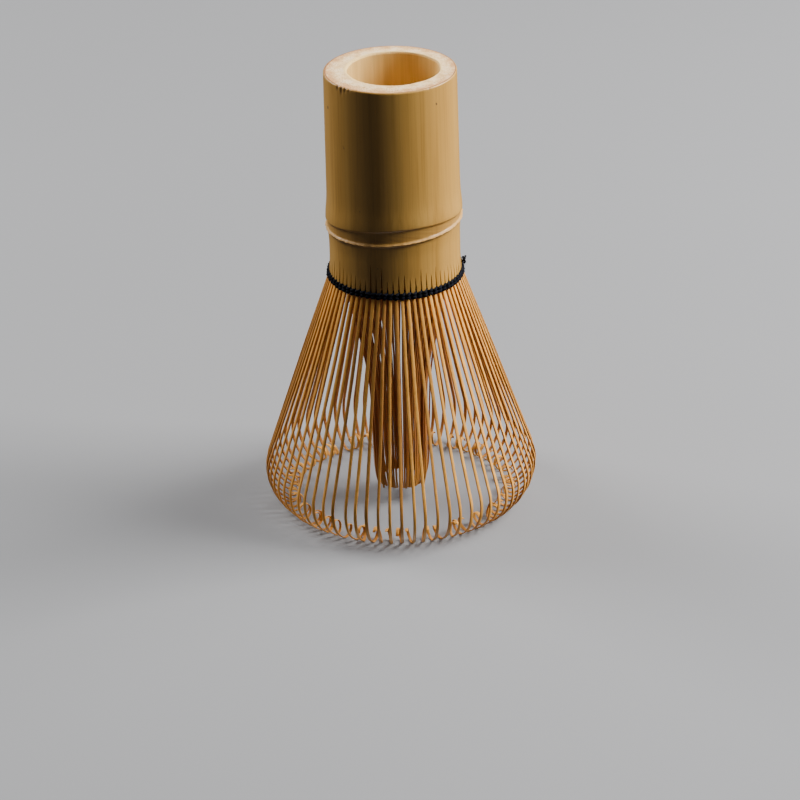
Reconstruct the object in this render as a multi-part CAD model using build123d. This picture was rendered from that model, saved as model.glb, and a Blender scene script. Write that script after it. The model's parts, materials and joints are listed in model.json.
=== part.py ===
from build123d import *
import math
import os
import random

# A bamboo tea whisk, standing on the bends of its outer tines.
# The origin is on the whisk's axis at the lowest bends, and +Z runs up the handle.
# Lengths are in millimetres and angles in degrees. A name ending in _r or _radius on the
# handle is measured from the axis, and one ending in _z is a height.

# --- handle: a piece of culm with one node --------------------------------------
height = 102.4
cut_end_radius = 14.5
cut_end_edge = 0.3             # worn outer edge of the sawn end
shaft_foot_z = 76.5
shaft_foot_radius = 14.66      # the culm swells a little towards its node
swell_z = 70.2
swell_radius = 15.0
groove_z = 68.8
groove_radius = 14.76
node_z = 67.1                  # the node's sharp ring
node_radius = 15.1
node_half_height = 0.85
under_node_radius = 14.72
waist_z = 62.5                 # the carved collar is straight from here down
collar_radius = 14.42
collar_bottom = 56.5           # where the split strips pass under the thread

hollow_radius = 10.0
hollow_centre = (0.7, 0.5)     # the natural hollow lies off centre, to the right and back
septum_top = 69.4              # the node's own wall closes the hollow
septum_bottom = 66.2
septum_dish = 1.2
lower_cavity_radius = 10.9     # scraped out below the septum
lower_cavity_top = 65.0

crotch_r = 12.95               # outer and inner strips part here
crotch_z = 61.0
outer_strip_thickness = 0.7
inner_strip_outer_r = 12.35
inner_strip_inner_r = 11.7
slit_half_width = 0.225        # at the strips' lower ends
slit_apex_z = (58.3, 59.9)     # range of the V slits' tops
long_slit_share = 0.22
long_slit_extra = (1.2, 3.2)
inner_gap_half_width = 0.24
inner_gap_apex_z = 60.4

# --- tines ------------------------------------------------------------------------
tine_count = 72                # outer tines, with as many inner ones between them
tines_per_group = 3
tine_pitch = 360 / tine_count
tine_top = 56.2
thread_z = 55.5                # middle of the binding, where the tines flex

splay = 19.1                   # slope of the straight outer tines from the axis
root_r = 14.55                 # outer face of an outer tine at thread_z
shoulder_radius = 9.0          # the broad bend above the foot
shoulder_end = 60.0            # how far round that bend the tight hook starts
root_thickness = 0.7
shoulder_thickness = 0.36
hook_thickness = 0.26
tip_thickness = 0.16
root_width = 0.80
foot_width = 0.60
outer_sway = 0.30              # sideways lean of single outer tines
hook_styles = [                # radius, turn past the lowest point, straight tip
    (1.75, 72, 0.9),
    (1.95, 84, 0.7),
    (1.60, 60, 1.3),
    (2.05, 66, 1.0),
    (1.85, 96, 0.5),
    (1.70, 78, 1.5),
]

inner_lean = 12.6              # slope of the inner tines towards the axis
inner_bend_z = 36.0            # the lean eases off from here down
inner_bend_radius = 60.0
inner_hang = 1.5               # the slope that is left below that bend
inner_tip_bend_z = 8.0
inner_tip_radius = 14.0
inner_root_thickness = 0.6
inner_end_thickness = 0.3
inner_root_width = 0.58
inner_end_width = 0.32
inner_styles = [               # turn of the tip towards the axis, straight end
    (16, 0.8),
    (13, 1.6),
    (18, 0.5),
]

# --- binding thread -----------------------------------------------------------------
row_half_height = 0.5
row_half_depth = 0.21
upper_row_r, upper_row_z = 14.84, 56.05
lower_row_r, lower_row_z = 15.14, 55.0
inner_row_r, inner_row_z = 13.1, 55.6
inner_row_radius = 0.42
knot_azimuth = 8.0
knot_radius = 0.62
knot_r, knot_z = 15.55, 56.0

slit_seed = 5
tine_seed = 11
clearance = 1.0                # how far cutting tools run past what they cut


def at(r, z):
    """A point of the XZ plane, where every turned outline is drawn."""
    return Vector(r, 0, z)


def upright_cylinder(radius, bottom, top):
    return Pos(*hollow_centre, bottom) * Cylinder(
        radius, top - bottom, align=(Align.CENTER, Align.CENTER, Align.MIN)
    )


# --- handle -------------------------------------------------------------------------
def culm_outside():
    """The outer skin's outline, from the strips' lower ends up to the cut end."""
    lip_middle = cut_end_edge * (1 - math.sqrt(0.5))
    return [
        Line(at(collar_radius, collar_bottom), at(collar_radius, waist_z)),
        Spline(
            at(collar_radius, waist_z),
            at(collar_radius + 0.08, waist_z + 1.9),
            at(under_node_radius, node_z - node_half_height),
            tangents=[(0, 0, 1), (0.3, 0, 1)],
        ),
        ThreePointArc(
            at(under_node_radius, node_z - node_half_height),
            at(node_radius, node_z),
            at(groove_radius + 0.08, node_z + node_half_height),
        ),
        Spline(
            at(groove_radius + 0.08, node_z + node_half_height),
            at(groove_radius, groove_z),
            at(swell_radius, swell_z),
            tangents=[(-0.2, 0, 1), (0.15, 0, 1)],
        ),
        Spline(
            at(swell_radius, swell_z),
            at(swell_radius - 0.1, swell_z + 1.5),
            at(shaft_foot_radius, shaft_foot_z),
            tangents=[(0.05, 0, 1), (-0.01, 0, 1)],
        ),
        Line(at(shaft_foot_radius, shaft_foot_z), at(cut_end_radius, height - cut_end_edge)),
        ThreePointArc(
            at(cut_end_radius, height - cut_end_edge),
            at(cut_end_radius - lip_middle, height - lip_middle),
            at(cut_end_radius - cut_end_edge, height),
        ),
    ]


def culm_inside():
    """The outline from the axis below the septum to the strips' lower ends."""
    strip_inside = collar_radius - outer_strip_thickness
    return [
        Spline(
            at(0, septum_bottom + septum_dish),
            at(6, septum_bottom + 0.8),
            at(lower_cavity_radius, lower_cavity_top),
            tangents=[(1, 0, 0), (0.35, 0, -1)],
        ),
        Spline(
            at(lower_cavity_radius, lower_cavity_top),
            at(inner_strip_inner_r - 0.1, crotch_z + 1.4),
            at(inner_strip_inner_r, collar_bottom),
            tangents=[(0.35, 0, -1), (-0.02, 0, -1)],
        ),
        Line(at(inner_strip_inner_r, collar_bottom), at(inner_strip_outer_r, collar_bottom)),
        Line(at(inner_strip_outer_r, collar_bottom), at(crotch_r, crotch_z)),
        Line(at(crotch_r, crotch_z), at(strip_inside, collar_bottom)),
        Line(at(strip_inside, collar_bottom), at(collar_radius, collar_bottom)),
    ]


def slit_tool(azimuth, apex_z, half_width, r_from, r_to):
    """A V-shaped slit, open downwards, cut radially through a ring of strips."""
    bottom = collar_bottom - clearance
    widened = half_width * (apex_z - bottom) / (apex_z - collar_bottom)
    outline = Polyline(
        (r_from, -widened, bottom),
        (r_from, 0, apex_z),
        (r_from, widened, bottom),
        close=True,
    )
    wedge = extrude(make_face(outline), amount=r_to - r_from, dir=(1, 0, 0))
    return wedge.rotate(Axis.Z, azimuth)


def collar_slits():
    """Slits of uneven length between the outer strips, and gaps between the inner ones."""
    rng = random.Random(slit_seed)
    tools = []
    for i in range(tine_count):
        apex = rng.uniform(*slit_apex_z)
        if rng.random() < long_slit_share:
            apex += rng.uniform(*long_slit_extra)
        azimuth = (i + 0.5) * tine_pitch
        tools.append(slit_tool(azimuth, apex, slit_half_width, crotch_r, node_radius + clearance))
    for i in range(tine_count):
        inside = lower_cavity_radius - clearance
        tools.append(
            slit_tool(i * tine_pitch, inner_gap_apex_z, inner_gap_half_width, inside, crotch_r)
        )
    return tools


def handle():
    """Culm wall, node, septum, and the collar split into the tines' roots."""
    axis_edges = [
        Line(at(cut_end_radius - cut_end_edge, height), at(0, height)),
        Line(at(0, height), at(0, septum_bottom + septum_dish)),
    ]
    outline = Wire(culm_inside() + culm_outside() + axis_edges)
    body = revolve(make_face(outline), axis=Axis.Z)
    hollow = upright_cylinder(hollow_radius, septum_top, height + clearance)
    dish_radius = (hollow_radius**2 + septum_dish**2) / (2 * septum_dish)
    dish_bottom = septum_top - septum_dish
    dish = Pos(*hollow_centre, dish_bottom + dish_radius) * Sphere(dish_radius)
    dish &= upright_cylinder(hollow_radius, dish_bottom, septum_top + clearance)
    return body - [hollow, dish] - collar_slits()


# --- tines --------------------------------------------------------------------------
class TinePath:
    """The outer face of a tine in its radial plane, walked from its root.

    heading is the slope from straight down, positive towards the axis.
    Every station holds the outer point and the inner one, a thickness away.
    """

    def __init__(self, r, z, heading, thickness):
        self.r = r
        self.z = z
        self.heading = heading
        self.thickness = thickness
        self.outer = []
        self.inner = []
        self.runs = []
        self.mark()

    def normal(self):
        slope = math.radians(self.heading)
        return -math.cos(slope), math.sin(slope)

    def mark(self):
        n_r, n_z = self.normal()
        self.outer.append(at(self.r, self.z))
        self.inner.append(at(self.r + n_r * self.thickness, self.z + n_z * self.thickness))

    def line(self, length, thickness):
        slope = math.radians(self.heading)
        self.r -= length * math.sin(slope)
        self.z -= length * math.cos(slope)
        self.thickness = thickness
        self.mark()
        self.runs.append("line")

    def arc(self, radius, turn, thickness):
        """Bend by turn, towards the axis if it is positive."""
        signed_radius = math.copysign(radius, turn)
        n_r, n_z = self.normal()
        centre_r = self.r + signed_radius * n_r
        centre_z = self.z + signed_radius * n_z
        start_heading = self.heading
        start_thickness = self.thickness
        for share in (0.5, 1.0):
            self.heading = start_heading + turn * share
            self.thickness = start_thickness + (thickness - start_thickness) * share
            n_r, n_z = self.normal()
            self.r = centre_r - signed_radius * n_r
            self.z = centre_z - signed_radius * n_z
            self.mark()
        self.runs.append("arc")

    def edges(self, points):
        """Lines and arcs through the stations of one face."""
        found = []
        i = 0
        for run in self.runs:
            if run == "line":
                found.append(Line(points[i], points[i + 1]))
                i += 1
            else:
                found.append(ThreePointArc(points[i], points[i + 1], points[i + 2]))
                i += 2
        return found

    def solid(self, top_width, bottom_width):
        """Give the side outline its width, which tapers towards the foot."""
        ends = [Line(self.outer[0], self.inner[0]), Line(self.outer[-1], self.inner[-1])]
        side = make_face(Wire(self.edges(self.outer) + self.edges(self.inner) + ends))
        slab = extrude(side, amount=top_width, both=True)
        front = Polyline(
            (0, -top_width / 2, tine_top + clearance),
            (0, top_width / 2, tine_top + clearance),
            (0, bottom_width / 2, -clearance),
            (0, -bottom_width / 2, -clearance),
            close=True,
        )
        return slab & extrude(make_face(front), amount=3 * cut_end_radius, dir=(1, 0, 0))


def outer_tine(hook_radius, turn_past, tip):
    """One outer tine: straight splay, broad shoulder, tight hook and tip."""
    slope = math.radians(splay)
    shoulder = math.radians(shoulder_end)
    shoulder_drop = shoulder_radius * (math.sin(shoulder) + math.sin(slope))
    hook_drop = hook_radius * (1 - math.sin(shoulder))
    straight = (tine_top - shoulder_drop - hook_drop) / math.cos(slope)
    top_r = root_r - (tine_top - thread_z) * math.tan(slope)
    path = TinePath(top_r, tine_top, -splay, root_thickness)
    path.line(straight, shoulder_thickness)
    path.arc(shoulder_radius, splay + shoulder_end, hook_thickness)
    path.arc(hook_radius, 90 - shoulder_end + turn_past, tip_thickness)
    path.line(tip, tip_thickness)
    return path.solid(root_width, foot_width)


def inner_tine(tip_turn, tip):
    """One inner tine: it leans in, eases off and hangs beside the axis."""
    leaning = (tine_top - inner_bend_z) / math.cos(math.radians(inner_lean))
    path = TinePath(inner_strip_outer_r, tine_top, inner_lean, inner_root_thickness)
    path.line(leaning, inner_end_thickness)
    path.arc(inner_bend_radius, inner_hang - inner_lean, inner_end_thickness)
    hanging = (path.z - inner_tip_bend_z) / math.cos(math.radians(inner_hang))
    path.line(hanging, inner_end_thickness)
    path.arc(inner_tip_radius, tip_turn, inner_end_thickness)
    path.line(tip, inner_end_thickness)
    return path.solid(inner_root_width, inner_end_width)


def placed(tine, lean, azimuth):
    """Lean a tine sideways about its root, then turn it to its azimuth."""
    root = Axis((0, 0, thread_z), (1, 0, 0))
    return tine.rotate(root, lean).rotate(Axis.Z, azimuth)


def tine_groups():
    """Yield the name and the solids of every group of neighbouring tines."""
    rng = random.Random(tine_seed)
    outer_kinds = [outer_tine(*style) for style in hook_styles]
    inner_kinds = [inner_tine(*style) for style in inner_styles]
    for group in range(tine_count // tines_per_group):
        outer_solids = []
        inner_solids = []
        for k in range(tines_per_group):
            azimuth = (group * tines_per_group + k) * tine_pitch
            kind = outer_kinds[rng.randrange(len(outer_kinds))]
            lean = rng.uniform(-outer_sway, outer_sway)
            outer_solids.append(placed(kind, lean, azimuth))
            inner_solids.append(placed(inner_kinds[k], 0, azimuth + tine_pitch / 2))
        yield f"outer_tines_{group + 1:02d}", outer_solids
        yield f"inner_tines_{group + 1:02d}", inner_solids


# --- binding thread -----------------------------------------------------------------
def thread_row(r, z):
    """One turn of thread drawn tight round the outer tines, oval in section."""
    section = Plane.XZ * Pos(r, z) * Ellipse(row_half_depth, row_half_height)
    return revolve(section, axis=Axis.Z)


def inner_thread_row():
    """The turn of thread between the outer tines and the inner ones."""
    return Pos(0, 0, inner_row_z) * Torus(inner_row_r, inner_row_radius)


def thread_knot():
    azimuth = math.radians(knot_azimuth)
    place = Pos(knot_r * math.cos(azimuth), knot_r * math.sin(azimuth), knot_z)
    return place * Sphere(knot_radius)


def write(name, solids):
    shape = solids[0] if len(solids) == 1 else Compound(children=solids)
    export_step(shape, f"parts/{name}.step")


os.makedirs("parts", exist_ok=True)
write("handle", [handle()])
write("thread_upper_row", [thread_row(upper_row_r, upper_row_z)])
write("thread_lower_row", [thread_row(lower_row_r, lower_row_z)])
write("thread_inner_row", [inner_thread_row()])
write("thread_knot", [thread_knot()])
for name, solids in tine_groups():
    write(name, solids)
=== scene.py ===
import json
import math
import random

import bpy
import bmesh
import numpy as np
from mathutils import Matrix, Vector


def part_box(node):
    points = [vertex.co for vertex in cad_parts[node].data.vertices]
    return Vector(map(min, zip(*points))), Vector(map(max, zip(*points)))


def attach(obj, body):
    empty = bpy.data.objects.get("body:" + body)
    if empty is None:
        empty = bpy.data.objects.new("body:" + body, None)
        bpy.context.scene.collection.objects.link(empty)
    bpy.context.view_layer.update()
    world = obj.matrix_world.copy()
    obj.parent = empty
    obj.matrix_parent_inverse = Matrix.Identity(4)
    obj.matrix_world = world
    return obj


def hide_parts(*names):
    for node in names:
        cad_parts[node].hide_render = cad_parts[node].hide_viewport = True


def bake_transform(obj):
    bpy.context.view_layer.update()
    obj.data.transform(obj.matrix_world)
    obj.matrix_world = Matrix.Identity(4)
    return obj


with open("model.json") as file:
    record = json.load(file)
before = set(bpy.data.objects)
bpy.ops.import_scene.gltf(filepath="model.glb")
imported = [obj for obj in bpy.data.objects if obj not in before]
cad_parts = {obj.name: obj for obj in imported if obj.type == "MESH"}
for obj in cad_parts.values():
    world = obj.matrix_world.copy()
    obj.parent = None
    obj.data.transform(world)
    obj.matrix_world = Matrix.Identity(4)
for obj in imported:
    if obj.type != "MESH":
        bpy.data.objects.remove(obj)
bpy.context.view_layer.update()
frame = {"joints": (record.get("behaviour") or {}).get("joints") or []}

MM = 0.001
TAU = 2 * math.pi
HANDLE = "handle"                    # the root body, and its CAD node
TINE_BODIES = 24
TINES_PER_BODY = 3
TINES = TINE_BODIES * TINES_PER_BODY
PITCH = TAU / TINES

handle_low, handle_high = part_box(HANDLE)
HEIGHT = handle_high.z
COLLAR_BOTTOM = handle_low.z
THREAD_Z = frame["joints"][0]["pos_m"][2]   # every tine flexes at the thread's height
IMAGE_SIZE = 800


# =================================================================== helpers
def new_piece(name, vertices, faces, material):
    """A smooth-shaded mesh object with the row frame's own coordinates."""
    mesh = bpy.data.meshes.new(name)
    mesh.from_pydata([tuple(v) for v in vertices], [], faces)
    mesh.validate()
    mesh.polygons.foreach_set("use_smooth", [True] * len(mesh.polygons))
    piece = bpy.data.objects.new(name, mesh)
    bpy.context.scene.collection.objects.link(piece)
    mesh.materials.append(material)
    return piece


def tidy_mesh(piece, merge_distance):
    """Merge what coincides and turn every face outwards."""
    bm = bmesh.new()
    bm.from_mesh(piece.data)
    bmesh.ops.remove_doubles(bm, verts=bm.verts, dist=merge_distance)
    bmesh.ops.dissolve_degenerate(bm, edges=bm.edges, dist=merge_distance / 2)
    bmesh.ops.recalc_face_normals(bm, faces=bm.faces)
    bm.to_mesh(piece.data)
    bm.free()


def store(piece, **layers):
    """Keep one number per vertex in each named layer, for the material to read."""
    for name, values in layers.items():
        layer = piece.data.attributes.new(name, "FLOAT", "POINT")
        layer.data.foreach_set("value", values.astype(np.float32))


def smoothstep(low, high, x):
    t = np.clip((np.asarray(x, float) - low) / (high - low), 0, 1)
    return t * t * (3 - 2 * t)


def bell(x, centre, half_width):
    return np.exp(-(((np.asarray(x, float) - centre) / half_width) ** 2))


class Ripple:
    """A smooth, seeded ripple over the azimuth, in units of its amplitude."""

    def __init__(self, seed, waves):
        rng = random.Random(seed)
        self.terms = []
        for n in waves:
            self.terms.append((n, rng.uniform(0, TAU), rng.uniform(0.5, 1.0)))
        self.scale = 1 / sum(weight for _, _, weight in self.terms)

    def __call__(self, azimuth, drift=0.0):
        total = 0.0
        for n, phase, weight in self.terms:
            total = total + weight * np.sin(n * azimuth + phase + drift * (1 + 0.37 * n))
        return total * self.scale


# ================================================================= materials
def shader(name):
    material = bpy.data.materials.new(name)
    material.use_nodes = True
    nodes = material.node_tree.nodes
    return material, nodes, material.node_tree.links, nodes["Principled BSDF"]


def stretched_noise(nodes, links, scale, detail, roughness=0.55):
    """Noise in the row frame, with its own scale along X, Y and Z, per metre."""
    place = nodes.new("ShaderNodeTexCoord")
    mapping = nodes.new("ShaderNodeMapping")
    mapping.inputs["Scale"].default_value = scale
    links.new(place.outputs["Object"], mapping.inputs["Vector"])
    noise = nodes.new("ShaderNodeTexNoise")
    noise.inputs["Scale"].default_value = 1.0
    noise.inputs["Detail"].default_value = detail
    noise.inputs["Roughness"].default_value = roughness
    links.new(mapping.outputs["Vector"], noise.inputs["Vector"])
    return noise.outputs["Fac"]


def ramp(nodes, links, value, stops):
    """A colour ramp; stops are (position, linear colour)."""
    node = nodes.new("ShaderNodeValToRGB")
    elements = node.color_ramp.elements
    while len(elements) < len(stops):
        elements.new(0.5)
    for element, (position, colour) in zip(elements, stops):
        element.position = position
        element.color = (*colour, 1)
    links.new(value, node.inputs["Fac"])
    return node.outputs["Color"]


MIX_FACTOR, MIX_FIRST, MIX_SECOND = 0, 6, 7    # the Mix node's sockets when it mixes colours
MIX_COLOUR = 2


def mix(nodes, links, factor, first, second, mode="MIX"):
    """Mix two colours; each input is a socket, or else a constant."""
    node = nodes.new("ShaderNodeMix")
    node.data_type = "RGBA"
    node.blend_type = mode
    for socket, value in ((MIX_FACTOR, factor), (MIX_FIRST, first), (MIX_SECOND, second)):
        if isinstance(value, bpy.types.NodeSocket):
            links.new(value, node.inputs[socket])
        elif socket == MIX_FACTOR:
            node.inputs[socket].default_value = value
        else:
            node.inputs[socket].default_value = (*value, 1)
    return node.outputs[MIX_COLOUR]


def attribute(nodes, name):
    node = nodes.new("ShaderNodeAttribute")
    node.attribute_name = name
    return node.outputs["Fac"]


def math_node(nodes, links, operation, first, second):
    node = nodes.new("ShaderNodeMath")
    node.operation = operation
    links.new(first, node.inputs[0])
    links.new(second, node.inputs[1])
    return node.outputs[0]


def map_range(nodes, links, value, low, high, to_low=0.0, to_high=1.0):
    """Carry low..high smoothly to to_low..to_high."""
    node = nodes.new("ShaderNodeMapRange")
    node.interpolation_type = "SMOOTHSTEP"
    ends = (("From Min", low), ("From Max", high), ("To Min", to_low), ("To Max", to_high))
    for name, number in ends:
        node.inputs[name].default_value = number
    links.new(value, node.inputs["Value"])
    return node.outputs["Result"]


def bump(nodes, links, height, distance, strength, under=None):
    """Relief of a given depth in metres, over an earlier relief if there is one."""
    node = nodes.new("ShaderNodeBump")
    node.inputs["Distance"].default_value = distance
    node.inputs["Strength"].default_value = strength
    links.new(height, node.inputs["Height"])
    if under is not None:
        links.new(under, node.inputs["Normal"])
    return node.outputs["Normal"]


def culm_skin():
    """The satin outer skin: streaks along the fibres, faint mottling, dark specks, and painted
    shade in the node's grooves and the rim's chips.
    """
    material, nodes, links, out = shader("culm_skin")
    broad = stretched_noise(nodes, links, (170, 170, 5), detail=3)
    fine = stretched_noise(nodes, links, (1500, 1500, 22), detail=5, roughness=0.65)
    mottle = stretched_noise(nodes, links, (60, 60, 45), detail=4)
    colour = ramp(nodes, links, broad, [
        (0.30, (0.50, 0.258, 0.048)),
        (0.52, (0.60, 0.320, 0.066)),
        (0.72, (0.67, 0.382, 0.088)),
    ])
    streak = ramp(nodes, links, fine, [
        (0.32, (0.72, 0.66, 0.58)),
        (0.50, (1.0, 1.0, 1.0)),
        (0.75, (1.08, 1.07, 1.05)),
    ])
    colour = mix(nodes, links, 0.55, colour, streak, "MULTIPLY")
    tan = ramp(nodes, links, mottle, [(0.35, (0.90, 0.86, 0.80)), (0.65, (1.0, 1.0, 1.0))])
    colour = mix(nodes, links, 0.6, colour, tan, "MULTIPLY")
    speck_noise = stretched_noise(nodes, links, (620, 620, 420), detail=1)
    specks = map_range(nodes, links, speck_noise, 0.775, 0.80)
    # painted shade: darker in the node's grooves, under its sharp ring and in the rim's chips,
    # where shade falls
    stain = attribute(nodes, "stain")
    crest = attribute(nodes, "crest")
    for mask, paint in (
        (specks, (0.16, 0.085, 0.035)),
        (stain, (0.25, 0.115, 0.035)),
        (crest, (0.60, 0.32, 0.10)),
    ):
        colour = mix(nodes, links, mask, colour, paint)
    links.new(colour, out.inputs["Base Color"])
    gloss = map_range(nodes, links, fine, 0.3, 0.7, 0.34, 0.46)
    worn = map_range(nodes, links, crest, 0.0, 0.3, 0.0, 0.35)
    gloss = math_node(nodes, links, "ADD", gloss, worn)
    links.new(gloss, out.inputs["Roughness"])
    out.inputs["Specular IOR Level"].default_value = 0.5
    out.inputs["Coat Weight"].default_value = 0.06
    out.inputs["Coat Roughness"].default_value = 0.3
    relief = bump(nodes, links, fine, 0.00003, 0.55)
    relief = bump(nodes, links, broad, 0.00008, 0.4, relief)
    links.new(relief, out.inputs["Normal"])
    return material


def cut_bamboo():
    """The sawn end grain: pale flesh with rows of darker fibre bundles."""
    material, nodes, links, out = shader("cut_bamboo")
    place = nodes.new("ShaderNodeTexCoord")
    cells = nodes.new("ShaderNodeTexVoronoi")
    cells.inputs["Scale"].default_value = 1900
    cells.inputs["Randomness"].default_value = 0.9
    links.new(place.outputs["Object"], cells.inputs["Vector"])
    bundles = map_range(nodes, links, cells.outputs["Distance"], 0.20, 0.44)
    depth = attribute(nodes, "depth")       # 0 at the hollow, 1 at the skin
    dense = map_range(nodes, links, depth, 0.25, 0.95, 0.06, 0.95)
    blotch = stretched_noise(nodes, links, (520, 520, 520), detail=5, roughness=0.7)
    flesh = ramp(nodes, links, blotch, [
        (0.36, (0.72, 0.43, 0.17)),
        (0.50, (0.92, 0.62, 0.30)),
        (0.64, (0.95, 0.72, 0.43)),
    ])
    pith = map_range(nodes, links, depth, 0.20, 0.06)
    flesh = mix(nodes, links, pith, flesh, (0.94, 0.64, 0.24))
    dark = mix(nodes, links, dense, flesh, (0.40, 0.19, 0.07))
    colour = mix(nodes, links, bundles, dark, flesh)
    outer_zone = map_range(nodes, links, depth, 0.42, 0.84, 0.0, 0.9)
    grains = map_range(nodes, links, blotch, 0.62, 0.40, 0.45, 1.0)
    outer_zone = math_node(nodes, links, "MULTIPLY", outer_zone, grains)
    colour = mix(nodes, links, outer_zone, colour, (0.60, 0.30, 0.11))
    skin_line = map_range(nodes, links, depth, 0.875, 0.925)
    colour = mix(nodes, links, skin_line, colour, (0.30, 0.125, 0.035))
    links.new(colour, out.inputs["Base Color"])
    out.inputs["Roughness"].default_value = 0.78
    fuzz = stretched_noise(nodes, links, (2600, 2600, 2600), detail=3)
    relief = bump(nodes, links, bundles, 0.00010, 0.6)
    relief = bump(nodes, links, fuzz, 0.00008, 0.6, relief)
    links.new(relief, out.inputs["Normal"])
    return material


def hollow_bamboo():
    """The wall of the hollow: orange-tan pith with streaks along the culm."""
    material, nodes, links, out = shader("hollow_bamboo")
    broad = stretched_noise(nodes, links, (210, 210, 9), detail=3)
    fine = stretched_noise(nodes, links, (1300, 1300, 45), detail=5)
    colour = ramp(nodes, links, broad, [
        (0.30, (0.56, 0.330, 0.088)),
        (0.50, (0.72, 0.455, 0.138)),
        (0.72, (0.82, 0.560, 0.195)),
    ])
    streak = ramp(nodes, links, fine, [(0.3, (0.70, 0.62, 0.52)), (0.6, (1.0, 1.0, 1.0))])
    colour = mix(nodes, links, 0.5, colour, streak, "MULTIPLY")
    links.new(colour, out.inputs["Base Color"])
    out.inputs["Roughness"].default_value = 0.52
    links.new(bump(nodes, links, fine, 0.00006, 0.6), out.inputs["Normal"])
    return material


def tine_bamboo(name, skin, flesh, deep):
    """A split tine: satin skin outside and fibrous flesh on its cut sides."""
    material, nodes, links, out = shader(name)
    own = attribute(nodes, "own_tone")
    cut = attribute(nodes, "cut_side")
    along = attribute(nodes, "along")
    fibres = stretched_noise(nodes, links, (2600, 2600, 150), detail=4)
    patches = stretched_noise(nodes, links, (420, 420, 120), detail=3)
    tone = ramp(nodes, links, own, [(0.0, deep), (0.45, skin), (1.0, [c * 1.28 for c in skin])])
    side = mix(nodes, links, 0.15, flesh, tone)
    colour = mix(nodes, links, cut, tone, side)
    shade = ramp(nodes, links, patches, [(0.35, (0.74, 0.66, 0.56)), (0.6, (1.0, 1.0, 1.0))])
    colour = mix(nodes, links, 0.5, colour, shade, "MULTIPLY")
    grain = ramp(nodes, links, fibres, [(0.3, (0.72, 0.64, 0.54)), (0.6, (1.05, 1.04, 1.02))])
    colour = mix(nodes, links, 0.55, colour, grain, "MULTIPLY")
    tip = map_range(nodes, links, along, 0.80, 1.0, 0.0, 0.45)
    colour = mix(nodes, links, tip, colour, (0.72, 0.34, 0.050))
    links.new(colour, out.inputs["Base Color"])
    gloss = map_range(nodes, links, cut, 0.0, 1.0, 0.36, 0.6)
    links.new(gloss, out.inputs["Roughness"])
    out.inputs["Specular IOR Level"].default_value = 0.35
    out.inputs["Specular Tint"].default_value = (1.0, 0.74, 0.40, 1)
    links.new(bump(nodes, links, fibres, 0.00003, 0.6), out.inputs["Normal"])
    return material


def cotton_thread():
    """Matt black cotton, with a blue cast and paler worn fibres."""
    material, nodes, links, out = shader("cotton_thread")
    fibre = stretched_noise(nodes, links, (5200, 5200, 5200), detail=3)
    dye = stretched_noise(nodes, links, (500, 500, 500), detail=2)
    colour = ramp(nodes, links, dye, [(0.35, (0.0035, 0.004, 0.006)), (0.7, (0.007, 0.008, 0.016))])
    worn = map_range(nodes, links, fibre, 0.60, 0.80, 0.0, 0.5)
    colour = mix(nodes, links, worn, colour, (0.022, 0.022, 0.030))
    links.new(colour, out.inputs["Base Color"])
    out.inputs["Roughness"].default_value = 0.85
    out.inputs["Specular IOR Level"].default_value = 0.12
    links.new(bump(nodes, links, fibre, 0.00004, 0.8), out.inputs["Normal"])
    return material


def studio_floor():
    """Plain pale grey, with a very faint cloudiness."""
    material, nodes, links, out = shader("studio_floor")
    cloud = stretched_noise(nodes, links, (3, 3, 3), detail=2)
    colour = ramp(nodes, links, cloud, [(0.3, (0.252, 0.252, 0.256)), (0.7, (0.268, 0.268, 0.272))])
    links.new(colour, out.inputs["Base Color"])
    out.inputs["Roughness"].default_value = 0.75
    return material


BACKDROP_FADE = (0.34, 1.1)          # metres from the middle: clear, and fully pale


def studio_backdrop():
    """A pale glow that fades in away from the middle, so that no dark horizon shows."""
    material, nodes, links, out = shader("studio_backdrop")
    place = nodes.new("ShaderNodeTexCoord")
    away = nodes.new("ShaderNodeVectorMath")
    away.operation = "LENGTH"
    links.new(place.outputs["Object"], away.inputs[0])
    cover = map_range(nodes, links, away.outputs["Value"], *BACKDROP_FADE)
    links.new(cover, out.inputs["Alpha"])
    out.inputs["Base Color"].default_value = (0, 0, 0, 1)
    out.inputs["Specular IOR Level"].default_value = 0
    out.inputs["Emission Color"].default_value = (0.50, 0.50, 0.51, 1)
    out.inputs["Emission Strength"].default_value = 1
    return material


skin_material = culm_skin()
cut_material = cut_bamboo()
hollow_material = hollow_bamboo()
outer_tine_material = tine_bamboo(
    "outer_tine_bamboo",
    skin=(0.90, 0.440, 0.096), flesh=(0.46, 0.185, 0.050), deep=(0.68, 0.305, 0.074),
)
inner_tine_material = tine_bamboo(
    "inner_tine_bamboo",
    skin=(0.50, 0.200, 0.052), flesh=(0.38, 0.130, 0.034), deep=(0.34, 0.115, 0.032),
)
thread_material = cotton_thread()

# ==================================================================== handle
NODE_Z = 67.4 * MM
RING_HEIGHT = 0.48 * MM              # the sharp ring
RING_HALF_WIDTH = 0.27 * MM
SWELL_HEIGHT = 0.40 * MM             # the soft edge above it
SWELL_REACH = 3.4 * MM               # how far up the shaft it fades out
SWELL_DROP = 0.30 * MM               # and how sharply it falls towards the ring
STRIP_FLARE = 0.20 * MM
SEPTUM_TOP = 69.4 * MM
SEPTUM_BOTTOM = 66.2 * MM
SEPTUM_DISH = 1.2 * MM
COLLAR_R = 14.42 * MM
SHAFT_FOOT_R = 14.66 * MM
SHAFT_FOOT_Z = 76.5 * MM
CUT_END_R = 14.5 * MM
LIP = 0.3 * MM                       # worn outer edge of the sawn end
SAW_MARK = 0.045 * MM
HOLLOW_R = 10.0 * MM
HOLLOW_CENTRE = (0.7 * MM, 0.5 * MM)
HOLLOW_RIPPLE = 0.20 * MM
HOLLOW_FLARE = 0.10 * MM             # at the mouth
ON_AXIS = (0.0, 0.0)
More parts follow.
